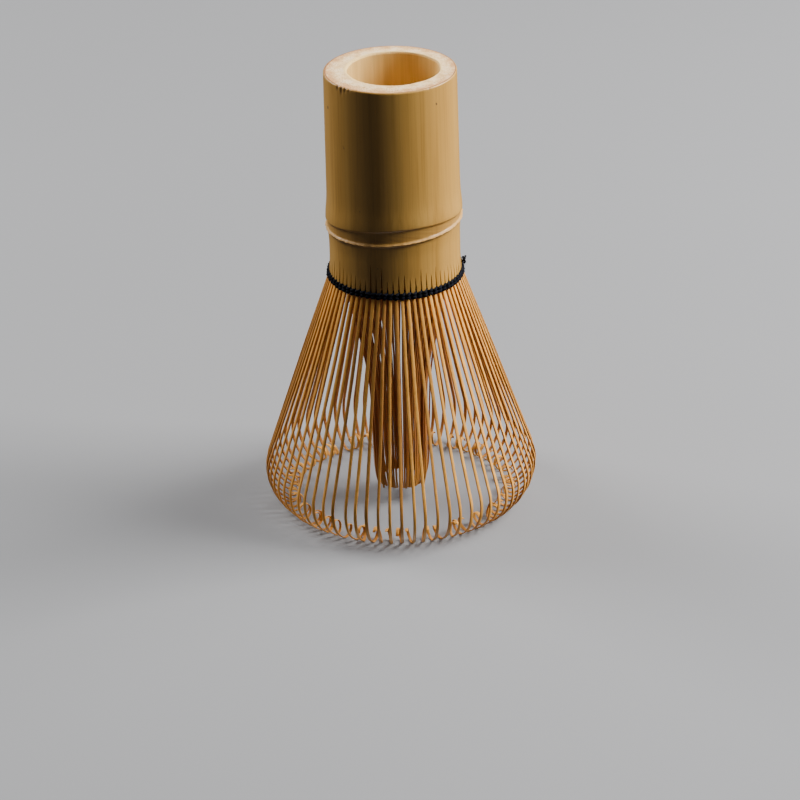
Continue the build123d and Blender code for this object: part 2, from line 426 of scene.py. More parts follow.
CROTCH_R = 12.95 * MM
CROTCH_Z = 61.0 * MM
STRIP_INSIDE_R = 13.72 * MM
CAVITY_R = 10.9 * MM
CAVITY_TOP = 65.0 * MM
SLIT_HALF_WIDTH = 0.24 * MM
SLIT_LEAST = 0.03 * MM               # nearer its top than this a slit counts as closed
STRIP_END = COLLAR_BOTTOM - 1.3 * MM  # the strips run on behind the thread
SLIT_SEED = 5
COLUMNS_PER_STRIP = 7
SKIN_BANDS = (                       # the skin's rings in mm: from, down to, spacing
    (101.9, 99.4, 0.28),             # the splintered rim
    (99.1, 76.0, 1.2),
    (75.6, 72.1, 0.4),
    (72.0, 65.6, 0.16),              # the node
    (65.5, 64.1, 0.28),
)
SLIT_TOP = 64.0 * MM                 # no slit reaches higher
SLIT_RINGS = 42
HOLLOW_RINGS = 24
MERGE_DISTANCE = 0.004 * MM
RIM_CHIPS = (                        # azimuth and half width in degrees, reach and depth in mm
    (218, 0.9, 1.6, 0.22), (223, 0.7, 2.4, 0.30), (227.5, 0.8, 1.2, 0.26),
    (232, 0.6, 0.9, 0.16), (305, 0.7, 0.6, 0.14), (95, 0.8, 1.1, 0.2),
)

oval = Ripple(21, (2, 3))
flutes = Ripple(22, (9, 14, 23, 31))
roughness_of_node = Ripple(23, (17, 29, 41, 57, 83))
hollow_shape = Ripple(24, (2, 3, 5, 7, 11))
cut_waves = Ripple(25, (2, 5, 11, 37, 61))


def slit_apexes():
    """Heights of the slits' tops; the same draws as the CAD collar's."""
    rng = random.Random(SLIT_SEED)
    found = []
    for _ in range(TINES):
        apex = rng.uniform(58.3, 59.9)
        if rng.random() < 0.22:
            apex += rng.uniform(1.2, 3.2)
        found.append(apex * MM)
    return found


def node_ring_z(azimuth):
    """The sharp ring isn't level: it rises towards +X."""
    return NODE_Z + (1.0 * np.cos(azimuth) + 0.25 * np.sin(azimuth)) * MM


def node_band(azimuth):
    """Height from the sharp ring to the soft edge above it; widest in front (-Y)."""
    front = np.clip(-np.sin(azimuth), 0, 1) ** 1.5
    back = np.clip(np.sin(azimuth), 0, 1)
    right = np.clip(np.cos(azimuth), 0, 1) ** 2
    return (2.1 + 1.4 * front + 0.4 * back - 0.4 * right) * MM


def skin_radius(azimuth, z):
    """The outside of the culm: straight shaft, swollen node with its ring, waisted collar."""
    taper = (z - SHAFT_FOOT_Z) / (HEIGHT - SHAFT_FOOT_Z)
    shaft = SHAFT_FOOT_R + (CUT_END_R - SHAFT_FOOT_R) * np.clip(taper, 0, 1)
    ring = node_ring_z(azimuth)
    edge = ring + node_band(azimuth)
    above = smoothstep(-4.0 * MM, 0.2 * MM, z - ring)
    radius = COLLAR_R + (shaft - COLLAR_R) * above
    over_edge = z - edge
    swell = np.where(over_edge > 0, bell(over_edge, 0, SWELL_REACH), bell(over_edge, 0, SWELL_DROP))
    radius = radius + SWELL_HEIGHT * swell
    grain = 1 + 0.35 * roughness_of_node(azimuth)
    radius = radius + RING_HEIGHT * bell(z, ring, RING_HALF_WIDTH) * grain
    near_node = bell(z, ring + 0.8 * MM, 2.4 * MM)
    rough_front = 0.3 + 0.7 * bell(azimuth % TAU, math.radians(305), 0.5)
    radius = radius + 0.05 * MM * near_node * rough_front * roughness_of_node(azimuth, z * 900)
    radius = radius + 0.05 * MM * oval(azimuth) + 0.012 * MM * flutes(azimuth, z * 4)
    flare = smoothstep(STRIP_END + 4 * MM, STRIP_END, z)
    return radius + STRIP_FLARE * flare


def rim_chips(azimuth, z):
    """Depth of the small splinters missing under the edge of the sawn end."""
    depth = 0.0
    for degrees, width, reach, cut in RIM_CHIPS:
        across = bell(azimuth % TAU, math.radians(degrees), math.radians(width))
        down = smoothstep(HEIGHT - reach * MM, HEIGHT - 0.2 * MM, z)
        depth = depth + cut * MM * across * down
    return depth


def inner_radius(z):
    """The collar's inside, from the strips' lower ends up to the scraped-out cavity."""
    low = STRIP_INSIDE_R + (CROTCH_R - STRIP_INSIDE_R) * (z - STRIP_END) / (CROTCH_Z - STRIP_END)
    return low + (CAVITY_R - low) * smoothstep(CROTCH_Z - 0.4 * MM, CAVITY_TOP, z)


def is_open(apex, z):
    """Whether a slit with its top at apex is open at a height."""
    return apex - z > SLIT_LEAST


def strip_columns(z, radius, apexes):
    """Azimuth of every column at a height: strips narrow where the slits are open."""
    columns = np.empty((TINES, COLUMNS_PER_STRIP))
    share = np.linspace(0, 1, COLUMNS_PER_STRIP)
    for i in range(TINES):
        half = []
        for apex in (apexes[i - 1], apexes[i]):
            opening = (apex - z) / (apex - STRIP_END) if is_open(apex, z) else 0.0
            half.append(SLIT_HALF_WIDTH * opening ** 0.75 / radius)
        start = (i - 0.5) * PITCH + half[0]
        end = (i + 0.5) * PITCH - half[1]
        columns[i] = start + (end - start) * share
    return columns.ravel()


def handle_rows(apexes):
    """Rings of points from the septum's upper centre, over the skin, to its lower centre."""
    plain = strip_columns(HEIGHT, CUT_END_R, apexes)
    rows = []
    kinds = []

    def add(azimuth, radius, z, kind, centre=ON_AXIS):
        z = np.broadcast_to(z, azimuth.shape)
        radius = np.broadcast_to(radius, azimuth.shape)
        x = radius * np.cos(azimuth) + centre[0]
        y = radius * np.sin(azimuth) + centre[1]
        rows.append(np.stack([x, y, z], 1))
        kinds.append(kind)

    for share in (0.02, 0.3, 0.55, 0.75, 0.9, 1.0):
        z = SEPTUM_TOP - SEPTUM_DISH * (1 - share ** 2)
        add(plain, HOLLOW_R * share, z, "hollow", HOLLOW_CENTRE)
    for z in np.linspace(SEPTUM_TOP + 0.8 * MM, HEIGHT - 0.5 * MM, HOLLOW_RINGS):
        uneven = HOLLOW_RIPPLE * hollow_shape(plain, z * 30) + 0.012 * MM * flutes(plain, z * 9)
        mouth = HOLLOW_FLARE * smoothstep(HEIGHT - 3 * MM, HEIGHT, z)
        add(plain, HOLLOW_R + uneven + mouth, z, "hollow", HOLLOW_CENTRE)
    inner_edge = HOLLOW_R + HOLLOW_FLARE + HOLLOW_RIPPLE * hollow_shape(plain, HEIGHT * 30)
    inner_x = inner_edge * np.cos(plain) + HOLLOW_CENTRE[0]
    inner_y = inner_edge * np.sin(plain) + HOLLOW_CENTRE[1]
    inner_r = np.hypot(inner_x, inner_y)
    inner_azimuth = np.arctan2(inner_y, inner_x)
    outer_edge = skin_radius(plain, HEIGHT) - rim_chips(plain, HEIGHT) - LIP
    for share, drop in ((0.015, 0.22), (0.04, 0.06), (0.09, 0.0)):
        radius = inner_r + (outer_edge - inner_r) * share
        add(inner_azimuth, radius, HEIGHT - drop * MM, "cut")
    for share in np.linspace(0.16, 1.0, 13):
        turned = inner_azimuth + ((plain - inner_azimuth + math.pi) % TAU - math.pi) * share
        radius = inner_r + (outer_edge - inner_r) * share
        saw = SAW_MARK * (cut_waves(turned, share * 5) - 1)
        add(turned, radius, HEIGHT + saw, "cut")
    for share in (0.35, 0.7, 1.0):
        z = HEIGHT - LIP * (1 - math.sqrt(1 - share ** 2))
        radius = outer_edge + LIP * share
        add(plain, radius, z - 0.02 * MM, "cut" if share < 0.5 else "skin")

    skin_heights = [z * MM for high, low, step in SKIN_BANDS for z in np.arange(high, low, -step)]
    slit_heights = list(np.linspace(SLIT_TOP, STRIP_END, SLIT_RINGS))
    for z in skin_heights:
        radius = skin_radius(plain, z) - rim_chips(plain, z)
        add(plain, radius, z, "skin")
    slit_start = len(rows)
    for z in slit_heights:
        azimuth = strip_columns(z, COLLAR_R, apexes)
        add(azimuth, skin_radius(azimuth, z), z, "skin")
    inside_start = len(rows)
    for z in reversed(slit_heights):
        azimuth = strip_columns(z, COLLAR_R, apexes)
        add(azimuth, inner_radius(z), z, "inside")
    add(plain, CAVITY_R - 0.1 * MM, CAVITY_TOP + 0.2 * MM, "inside")
    for share in (0.95, 0.8, 0.6, 0.3, 0.02):
        z = SEPTUM_BOTTOM - 1.0 * MM + 2.2 * MM * (1 - share ** 2)
        add(plain, CAVITY_R * share, z, "inside")
    return rows, kinds, slit_start, inside_start


def rows_to_faces(row_count, width, keep):
    """Quads between closed rings of points; keep(row, column) picks the ones to make."""
    faces = []
    for r in range(row_count - 1):
        for c in range(width):
            if keep(r, c):
                d = (c + 1) % width
                this, following = r * width, (r + 1) * width
                faces.append((this + c, following + c, following + d, this + d))
    return faces


def slit_walls(rows, slit_start, inside_start, apexes):
    """The two side walls of every slit, between the skin's rings and the inside's."""
    width = TINES * COLUMNS_PER_STRIP
    faces = []
    for k in range(SLIT_RINGS - 1):
        upper, lower = slit_start + k, slit_start + k + 1
        mate_upper = inside_start + SLIT_RINGS - 1 - k
        mate_lower = mate_upper - 1
        z_lower = rows[lower][0, 2]
        for i in range(TINES):
            if not is_open(apexes[i], z_lower):
                continue
            left = i * COLUMNS_PER_STRIP + COLUMNS_PER_STRIP - 1
            right = ((i + 1) % TINES) * COLUMNS_PER_STRIP
            for column in (left, right):
                faces.append((
                    upper * width + column,
                    lower * width + column,
                    mate_lower * width + column,
                    mate_upper * width + column,
                ))
    return faces


def wall_depth(points):
    """How far through the culm's wall a point is: 0 at the hollow, 1 at the skin."""
    offset = points[:, :2] - np.array(HOLLOW_CENTRE)
    from_hollow = np.hypot(offset[:, 0], offset[:, 1]) - HOLLOW_R
    from_skin = CUT_END_R - np.hypot(points[:, 0], points[:, 1])
    return np.clip(from_hollow / np.maximum(from_hollow + from_skin, 0.5 * MM), 0, 1)


def painted_shade_and_crest(points):
    """Painted shade in the node's grooves, under its ring and soft edge and in the rim's chips; and
    the ring's worn pale crest.
    """
    azimuth = np.arctan2(points[:, 1], points[:, 0])
    z = points[:, 2]
    ring = node_ring_z(azimuth)
    edge = ring + node_band(azimuth)
    patchy = 0.8 + 0.2 * roughness_of_node(azimuth, z * 500)
    between = smoothstep(0.2 * MM, 0.6 * MM, z - ring) * smoothstep(0.1 * MM, -0.3 * MM, z - edge)
    # painted shade: a dark strip just under the sharp ring, the recessed band between the ring and
    # the soft edge, a strip just under that edge, and the rim's chips
    stain = 0.50 * bell(z, ring - 0.60 * MM, 0.35 * MM)
    stain += 0.32 * between
    stain += 0.30 * bell(z, edge - 0.25 * MM, 0.35 * MM)
    stain += np.clip(rim_chips(azimuth, z) / (0.12 * MM), 0, 1)
    crest = 0.6 * bell(z, ring, 0.24 * MM)
    return np.clip(stain * patchy, 0, 1), crest * patchy


def build_handle():
    apexes = slit_apexes()
    rows, kinds, slit_start, inside_start = handle_rows(apexes)
    width = TINES * COLUMNS_PER_STRIP
    points = np.concatenate(rows)

    def within_strip(row, column):
        """A quad that would bridge a slit is left out; above the slit it has no width."""
        return (column + 1) % COLUMNS_PER_STRIP != 0

    faces = rows_to_faces(len(rows), width, within_strip)
    faces += slit_walls(rows, slit_start, inside_start, apexes)
    for end_row in (0, len(rows) - 1):
        faces.append(tuple(range(end_row * width, (end_row + 1) * width)))
    piece = new_piece("culm_handle", points, faces, skin_material)
    mesh = piece.data
    mesh.materials.append(cut_material)
    mesh.materials.append(hollow_material)
    stain, crest = painted_shade_and_crest(points)
    store(piece, depth=wall_depth(points), stain=stain, crest=crest)

    material_slot = {"skin": 0, "cut": 1, "hollow": 2, "inside": 2}
    for polygon in mesh.polygons:
        first_row = min(v // width for v in polygon.vertices)
        last_row = max(v // width for v in polygon.vertices)
        kind = kinds[last_row]
        strip_end = kinds[first_row] == "skin" and last_row == inside_start == first_row + 1
        polygon.material_index = material_slot["cut" if strip_end else kind]
    tidy_mesh(piece, MERGE_DISTANCE)
    piece.data.set_sharp_from_angle(angle=math.radians(48))
    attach(piece, HANDLE)
    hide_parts(HANDLE)


build_handle()

# ===================================================================== tines
TINE_TOP = 56.2 * MM
SPLAY = math.radians(19.1)
ROOT_R = 14.55 * MM                  # outer face at the thread's height
SHOULDER_R = 9.0 * MM
SHOULDER_END = math.radians(60)
HOOK_STYLES = (                      # hook's radius and turn past its lowest point, tip curl's
                                     # radius and turn; in mm and degrees
    (1.75, 72, 1.60, 140), (1.95, 84, 1.45, 155), (1.60, 60, 1.75, 145),
    (2.05, 66, 1.65, 130), (1.85, 96, 1.35, 170), (1.70, 78, 1.65, 125),
)
OUTER_SWAY = 0.30                    # most sideways lean, in degrees
TINE_SEED = 11                       # the CAD tines' styles and leans come from the same draws
LOOKS_SEED = 31                      # each tine's own unevenness, which the CAD lacks

INNER_LEAN = math.radians(12.6)
INNER_HANG = math.radians(1.5)
INNER_BEND_Z = 36.0 * MM
INNER_BEND_R = 60.0 * MM
INNER_TIP_Z = 8.0 * MM
INNER_TIP_R = 14.0 * MM
INNER_STYLES = ((16, 0.8), (13, 1.6), (18, 0.5))      # tip's turn in degrees, its length in mm
INNER_TOP_R = 12.35 * MM
INNER_ROOT_R = 13.25 * MM            # inside the collar's wall
STRAY_LEAN = 0.8                     # degrees
STRAY_SHARE = 0.35                   # of the groups have one stray inner tine
STRAY_LIFT = 0.70                    # mm outwards, clear of the tines it crosses

# A strip's section: (across, through); through is -1 at the skin and 1 at the flesh.
SECTION = np.array([
    (-1.0, -0.45), (-0.86, -0.86), (-0.45, -0.98), (0.0, -1.02), (0.45, -0.98), (0.86, -0.86),
    (1.0, -0.45), (0.98, 0.7), (0.82, 1.0), (0.0, 0.95), (-0.82, 1.0), (-0.98, 0.7),
])
SECTION_CUT = np.array([0.55, 0.1, 0, 0, 0, 0.1, 0.55, 1, 1, 1, 1, 1])    # 1 where it is flesh


class Walk:
    """Points along a tine's outer face in its radial plane, from root to tip."""

    def __init__(self, r, z, heading):
        self.r = r
        self.z = z
        self.heading = heading
        self.stations = [(r, z, heading)]

    def line(self, length, steps):
        for _ in range(steps):
            self.r -= length / steps * math.sin(self.heading)
            self.z -= length / steps * math.cos(self.heading)
            self.stations.append((self.r, self.z, self.heading))

    def arc(self, radius, turn, steps):
        """A positive turn bends the tip inwards, towards the axis."""
        signed = math.copysign(radius, turn)
        centre_r = self.r - signed * math.cos(self.heading)
        centre_z = self.z + signed * math.sin(self.heading)
        for _ in range(steps):
            self.heading += turn / steps
            self.r = centre_r + signed * math.cos(self.heading)
            self.z = centre_z - signed * math.sin(self.heading)
            self.stations.append((self.r, self.z, self.heading))


def outer_walk(style):
    """Root inside the collar, straight splay, broad shoulder, tight hook and curled tip."""
    radius, past = style[0] * MM, math.radians(style[1])
    curl_radius, curl_turn = style[2] * MM, math.radians(style[3])
    shoulder_drop = SHOULDER_R * (math.sin(SHOULDER_END) + math.sin(SPLAY))
    hook_drop = radius * (1 - math.sin(SHOULDER_END))
    straight = (TINE_TOP - shoulder_drop - hook_drop) / math.cos(SPLAY)
    top_r = ROOT_R - (TINE_TOP - THREAD_Z) * math.tan(SPLAY)
    rise = 0.9 * MM
    walk = Walk(top_r - 0.05 * MM, TINE_TOP + rise, 0.0)
    walk.line(0.4 * rise, 2)
    walk.r, walk.z, walk.heading = top_r, TINE_TOP, -SPLAY
    walk.stations.append((walk.r, walk.z, walk.heading))
    walk.line(straight, 34)
    walk.arc(SHOULDER_R, SPLAY + SHOULDER_END, 14)
    walk.arc(radius, math.pi / 2 - SHOULDER_END + past, 14)
    walk.arc(curl_radius, curl_turn, 12)
    return np.array(walk.stations)


def inner_walk(style):
    """Root inside the collar, lean towards the axis, soft bend, hang and inturned tip."""
    turn, tip = math.radians(style[0]), style[1] * MM
    walk = Walk(INNER_ROOT_R, CROTCH_Z + 0.3 * MM, 0.9 * INNER_LEAN)
    walk.line((walk.z - TINE_TOP) / math.cos(walk.heading), 5)
    walk.r, walk.heading = INNER_TOP_R, INNER_LEAN
    walk.stations[-1] = (walk.r, walk.z, walk.heading)
    walk.line((TINE_TOP - INNER_BEND_Z) / math.cos(INNER_LEAN), 16)
    walk.arc(INNER_BEND_R, INNER_HANG - INNER_LEAN, 8)
    walk.line((walk.z - INNER_TIP_Z) / math.cos(INNER_HANG), 12)
    walk.arc(INNER_TIP_R, turn, 6)
    walk.line(tip, 3)
    return np.array(walk.stations)


def strip(stations, azimuth, lean, width, thickness, drift, lift, twist):
    """One tine as rings of a rounded strip.

    width and thickness are whole sizes per station; drift is a sideways shift and lift
    a shift along the inward normal; twist turns the section about the tine's own line.
    """
    r, z, heading = stations.T
    inward = np.stack([-np.cos(heading), np.zeros_like(r), np.sin(heading)], 1)
    centre = np.stack([r, np.zeros_like(r), z], 1) + inward * (thickness / 2 + lift)[:, None]
    across = np.tile((0.0, 1.0, 0.0), (len(r), 1))
    centre = centre + across * drift[:, None]
    cos_t, sin_t = np.cos(twist)[:, None], np.sin(twist)[:, None]
    side = across * cos_t + inward * sin_t
    through = inward * cos_t - across * sin_t
    rings = (
        centre[:, None, :]
        + side[:, None, :] * SECTION[None, :, 0, None] * (width / 2)[:, None, None]
        + through[:, None, :] * SECTION[None, :, 1, None] * (thickness / 2)[:, None, None]
    )
    sway = Matrix.Translation((0, 0, THREAD_Z)) @ Matrix.Rotation(math.radians(lean), 4, "X")
    sway = sway @ Matrix.Translation((0, 0, -THREAD_Z))
    whole = np.array(Matrix.Rotation(azimuth, 4, "Z") @ sway)
    return rings.reshape(-1, 3) @ whole[:3, :3].T + whole[:3, 3]


def strip_faces(station_count, base):
    """A strip's skin and its two end caps, for vertices numbered from base."""
    n = len(SECTION)
    faces = []
    for s in range(station_count - 1):
        for k in range(n):
            m = (k + 1) % n
            a = base + s * n
            b = a + n
            faces.append((a + k, b + k, b + m, a + m))
    faces.append(tuple(base + k for k in range(n)))
    faces.append(tuple(base + (station_count - 1) * n + k for k in reversed(range(n))))
    return faces


def arc_length(stations):
    """Distance from the root to every station."""
    steps = np.hypot(np.diff(stations[:, 0]), np.diff(stations[:, 1]))
    return np.concatenate([[0], np.cumsum(steps)])


def outer_tine(rng, style, lean, azimuth, middle):
    """Points of one outer tine, with its own small unevenness."""
    stations = outer_walk(HOOK_STYLES[style])
    length = arc_length(stations)
    along = length / length[-1]
    shoulder = np.clip(length / (45 * MM), 0, 1)
    foot = np.clip((length - 56 * MM) / (8 * MM), 0, 1)
    broad = rng.uniform(0.86, 1.04)
    width = (0.82 - 0.12 * along) * broad
    width = width * (0.74 + 0.26 * smoothstep(0.010, 0.042, along))
    width = width * (1 + 0.03 * np.sin(along * rng.uniform(8, 14) + rng.uniform(0, TAU)))
    thickness = 0.7 - 0.34 * shoulder - 0.20 * foot
    free = smoothstep(0.06, 0.35, along)
    wave = np.sin(along * rng.uniform(4, 7) + rng.uniform(0, TAU))
    drift = 0.10 * wave * free
    curl = rng.uniform(1.2, 2.2) if middle else rng.uniform(0.8, 1.3)
    curl = curl * rng.choice((-1, 1))
    drift = drift + curl * smoothstep(0.87, 1.0, along)
    lift = 0.10 * np.sin(along * rng.uniform(3, 6) + rng.uniform(0, TAU)) * free
    lift = lift * (1 - foot)
    twist = math.radians(rng.uniform(-9, 9)) * along + math.radians(rng.uniform(-22, 22)) * foot
    points = strip(
        stations, azimuth, lean, width * MM, thickness * MM, drift * MM, lift * MM, twist
    )
    return points, along


def inner_tine(rng, style, azimuth, stray):
    """Points of one inner tine; a stray one leans across its neighbours."""
    stations = inner_walk(INNER_STYLES[style])
    length = arc_length(stations)
    along = length / length[-1]
    width = (0.44 + 0.52 * smoothstep(0.42, 0.05, along)) * rng.uniform(0.94, 1.04)
    thickness = 0.55 - 0.27 * np.clip(along * 1.6, 0, 1)
    free = smoothstep(0.12, 0.55, along)
    drift = 0.06 * np.sin(along * rng.uniform(5, 9) + rng.uniform(0, TAU)) * free
    lift = 0.09 * np.sin(along * rng.uniform(4, 8) + rng.uniform(0, TAU)) * free
    lean = rng.uniform(-0.08, 0.08)
    if stray:
        lean = stray
        lift = lift - STRAY_LIFT * free
    twist = math.radians(rng.uniform(-14, 14)) * along
    points = strip(
        stations, azimuth, lean, width * MM, thickness * MM, drift * MM, lift * MM, twist
    )
    return points, along


def fan(kind, number, tines, material):
    """Join one body's tines in one mesh; the tines leave the handle below the thread."""
    points, faces, along, own_tone, cut_side = [], [], [], [], []
    base = 0
    for tine_points, tine_along, tone in tines:
        count = len(tine_along)
        points.append(tine_points)
        faces += strip_faces(count, base)
        along.append(np.repeat(tine_along, len(SECTION)))
        own_tone.append(np.full(count * len(SECTION), tone))
        cut_side.append(np.tile(SECTION_CUT, count))
        base += count * len(SECTION)
    piece = new_piece(f"{kind}_fan_{number}", np.concatenate(points), faces, material)
    store(
        piece,
        along=np.concatenate(along),
        own_tone=np.concatenate(own_tone),
        cut_side=np.concatenate(cut_side),
    )
    piece.data.set_sharp_from_angle(angle=math.radians(50))
    body = f"{kind}_tines_{number}"      # the CAD node has the same name as its body
    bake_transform(piece)
    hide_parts(body)


def build_tines():
    shared = random.Random(TINE_SEED)
    rng = random.Random(LOOKS_SEED)
    for group in range(TINE_BODIES):
        outer, inner = [], []
        for k in range(TINES_PER_BODY):
            azimuth = (group * TINES_PER_BODY + k) * PITCH
            style = shared.randrange(len(HOOK_STYLES))
            lean = shared.uniform(-OUTER_SWAY, OUTER_SWAY)
            middle = k == TINES_PER_BODY // 2
            points, along = outer_tine(rng, style, lean, azimuth, middle)
            outer.append((points, along, rng.random()))
            stray = 0
            if middle and rng.random() < STRAY_SHARE:
                stray = rng.choice((-STRAY_LEAN, STRAY_LEAN))
            points, along = inner_tine(rng, k, azimuth + PITCH / 2, stray)
            inner.append((points, along, rng.random()))
        number = f"{group + 1:02d}"
        fan("outer", number, outer, outer_tine_material)
        fan("inner", number, inner, inner_tine_material)


build_tines()

# ==================================================================== thread
YARN_SECTION = 10
YARN_TWIST = 1.15 * MM               # length in which the two plies change places
PLY_DEPTH = 0.13                     # how far the two plies stand out of a round section
THREAD_TILT = 0.22 * MM              # the rows lie lower in front than behind
SAMPLES_PER_TINE = 10
THREAD_ROWS = (                      # piece, CAD node, then in mm: middle radius, swing, height,
                                     # climb where the strands cross, half height, half depth
    ("upper_twine", "thread_upper_row", 14.32, 0.62, 55.54, 0.10, 0.38, 0.28),
    ("lower_twine", "thread_lower_row", 14.42, 0.66, 54.84, 0.10, 0.38, 0.28),
    ("inner_twine", "thread_inner_row", 13.08, 0.20, 55.6, 0.20, 0.24, 0.22),
)
KNOT_AZIMUTH = math.radians(8)
KNOT_R = 15.35 * MM
KNOT_Z = 56.0 * MM
KNOT_POINTS = 90
KNOT_TAIL = 0.5 * MM
TAIL_POINTS = 12
FUZZ_COUNT = 150
FUZZ_ROOT_R = 15.15 * MM
FUZZ_AT_KNOT = 0.25                  # share of the fibres that gather round the knot
FUZZ_STOPS = 5                       # rings of three points along a fibre


def yarn(name, centres, half_height, half_depth, closed, out_of):
    """A two-ply yarn along centres; out_of gives each point's depth direction."""
    count = len(centres)
    ahead = np.roll(centres, -1, 0) - np.roll(centres, 1, 0)
    if not closed:
        ahead[0] = centres[1] - centres[0]
        ahead[-1] = centres[-1] - centres[-2]
    ahead /= np.linalg.norm(ahead, axis=1)[:, None]
    depth = out_of - ahead * np.sum(out_of * ahead, 1)[:, None]
    depth /= np.linalg.norm(depth, axis=1)[:, None]
    height = np.cross(ahead, depth)
    steps = np.linalg.norm(np.roll(centres, -1, 0) - centres, axis=1)
    length = np.concatenate([[0], np.cumsum(steps)])
    total = length[-1] if closed else length[-2]
    turns = max(1, round(total / YARN_TWIST))
    spin = length[:count] / total * turns * math.pi
    points = []
    for k in range(YARN_SECTION):
        angle = k / YARN_SECTION * TAU
        plies = 1 + PLY_DEPTH * np.cos(2 * (angle - spin))
        up = np.sin(angle) * half_height * plies
        out = np.cos(angle) * half_depth * plies
        points.append(centres + height * up[:, None] + depth * out[:, None])
    points = np.stack(points, 1).reshape(-1, 3)
    faces = []
    for s in range(count if closed else count - 1):
        t = (s + 1) % count
        for k in range(YARN_SECTION):
            m = (k + 1) % YARN_SECTION
            faces.append((
                s * YARN_SECTION + k, s * YARN_SECTION + m,
                t * YARN_SECTION + m, t * YARN_SECTION + k,
            ))
    if not closed:
        faces.append(tuple(reversed(range(YARN_SECTION))))
        faces.append(tuple((count - 1) * YARN_SECTION + k for k in range(YARN_SECTION)))
    return new_piece(name, points, faces, thread_material)


def seed_of(text):
    """A number that is the same in every run."""
    return sum((i + 1) * ord(c) for i, c in enumerate(text))


def twined_row(name, node, middle_r, swing, z, climb, half_height, half_depth):
    """Two strands that pass in front of and behind every other tine and cross between."""
    samples = TINES * SAMPLES_PER_TINE
    azimuth = np.arange(samples) / samples * TAU
    out_of = np.stack([np.cos(azimuth), np.sin(azimuth), np.zeros(samples)], 1)
    wander = Ripple(seed_of(name), (3, 7, 19, 31))
    strands = []
    for side in (1, -1):
        swung = np.cos(TINES / 2 * azimuth)
        shaped = np.sign(swung) * np.abs(swung) ** 0.8 * side
        r = middle_r + swing * shaped + 0.05 * MM * wander(azimuth, side)
        height = z + climb * side * np.sin(TINES / 2 * azimuth)
        height = height + 0.07 * MM * wander(azimuth, 2.0) + THREAD_TILT * np.sin(azimuth)
        centres = np.stack([r * np.cos(azimuth), r * np.sin(azimuth), height], 1)
        strand = yarn(f"{name}_{len(strands) + 1}", centres, half_height, half_depth, True, out_of)
        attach(strand, HANDLE)
        strands.append(strand)
    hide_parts(node)


def knot():
    """A small overhand knot at the right, with two short cut ends."""
    turn = Matrix.Rotation(KNOT_AZIMUTH, 3, "Z")
    place = turn @ Vector((KNOT_R, 0, KNOT_Z))
    t = np.linspace(0.35, TAU - 0.35, KNOT_POINTS)
    tied = np.stack([
        0.20 * np.sin(3 * t),
        0.34 * (np.sin(t) + 1.3 * np.sin(2 * t)),
        0.34 * (np.cos(t) - 1.3 * np.cos(2 * t)),
    ], 1) * MM
    for end, way in ((0, (0.7, 0.5, 1.0)), (-1, (0.9, -0.4, -0.5))):
        tail = np.linspace(0, 1, TAIL_POINTS)[1:, None] * np.array(way) * KNOT_TAIL
        tail[:, 2] += 0.25 * MM * np.linspace(0, 1, TAIL_POINTS - 1) ** 2
        if end == 0:
            tied = np.concatenate([(tied[0] + tail)[::-1], tied])
        else:
            tied = np.concatenate([tied, tied[-1] + tail])
    centres = tied @ np.array(turn).T + np.array(place)
    out_of = np.tile(np.array(turn @ Vector((1, 0.2, 0.1))), (len(centres), 1))
    piece = yarn("thread_knot_tied", centres, 0.2 * MM, 0.2 * MM, False, out_of)
    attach(piece, HANDLE)
    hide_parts("thread_knot")


def fuzz():
    """Loose cotton fibres that stand off the binding."""
    rng = random.Random(77)
    points, faces = [], []
    for _ in range(FUZZ_COUNT):
        azimuth = rng.uniform(0, TAU)
        if rng.random() < FUZZ_AT_KNOT:
            azimuth = rng.gauss(KNOT_AZIMUTH, 0.12)
        start = Vector((FUZZ_ROOT_R, 0, rng.uniform(54.7, 56.5) * MM))
        heading = Vector((rng.uniform(0.2, 1), rng.gauss(0, 0.9), rng.gauss(0, 0.7))).normalized()
        bend = Vector((rng.gauss(0, 0.5), rng.gauss(0, 0.5), rng.gauss(0, 0.5)))
        length = rng.uniform(0.25, 0.95) * MM
        half = rng.uniform(0.008, 0.014) * MM
        turn = Matrix.Rotation(azimuth, 3, "Z")
        base = len(points)
        for s in range(FUZZ_STOPS):
            share = s / (FUZZ_STOPS - 1)
            centre = start + heading * length * share + bend * length * share ** 2 * 0.5
            for k in range(3):
                angle = k / 3 * TAU
                ring = Vector((0, math.cos(angle), math.sin(angle))) * half * (1 - 0.6 * share)
                points.append(turn @ (centre + ring))
        for s in range(FUZZ_STOPS - 1):
            for k in range(3):
                m = (k + 1) % 3
                a = base + s * 3
                faces.append((a + k, a + m, a + 3 + m, a + 3 + k))
        last = base + (FUZZ_STOPS - 1) * 3
        faces.append((base + 2, base + 1, base))
        faces.append((last, last + 1, last + 2))
    piece = new_piece("thread_fuzz", points, faces, thread_material)
    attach(piece, HANDLE)


for row_name, row_node, *row_sizes in THREAD_ROWS:
    twined_row(row_name, row_node, *(size * MM for size in row_sizes))
knot()
fuzz()

# ========================================================== floor and lights
FLOOR_SIZE = 6.0
FLOOR_STEPS = 24
BACKDROP_FOOT = 0.002                # just above the floor
SWEEP_R = 2.4                        # where the backdrop starts to rise
SWEEP_BEND = 0.5
WALL_TOP = 1.6
BACKDROP_AROUND = 96
STUDIO_MIDDLE = (0, 0, 0.055)


def put_on_stage(piece):
    """The camera sees it, but it throws no light or shade on the whisk, like a black table."""
    piece.visible_diffuse = False
    piece.visible_glossy = False
    piece.visible_shadow = False


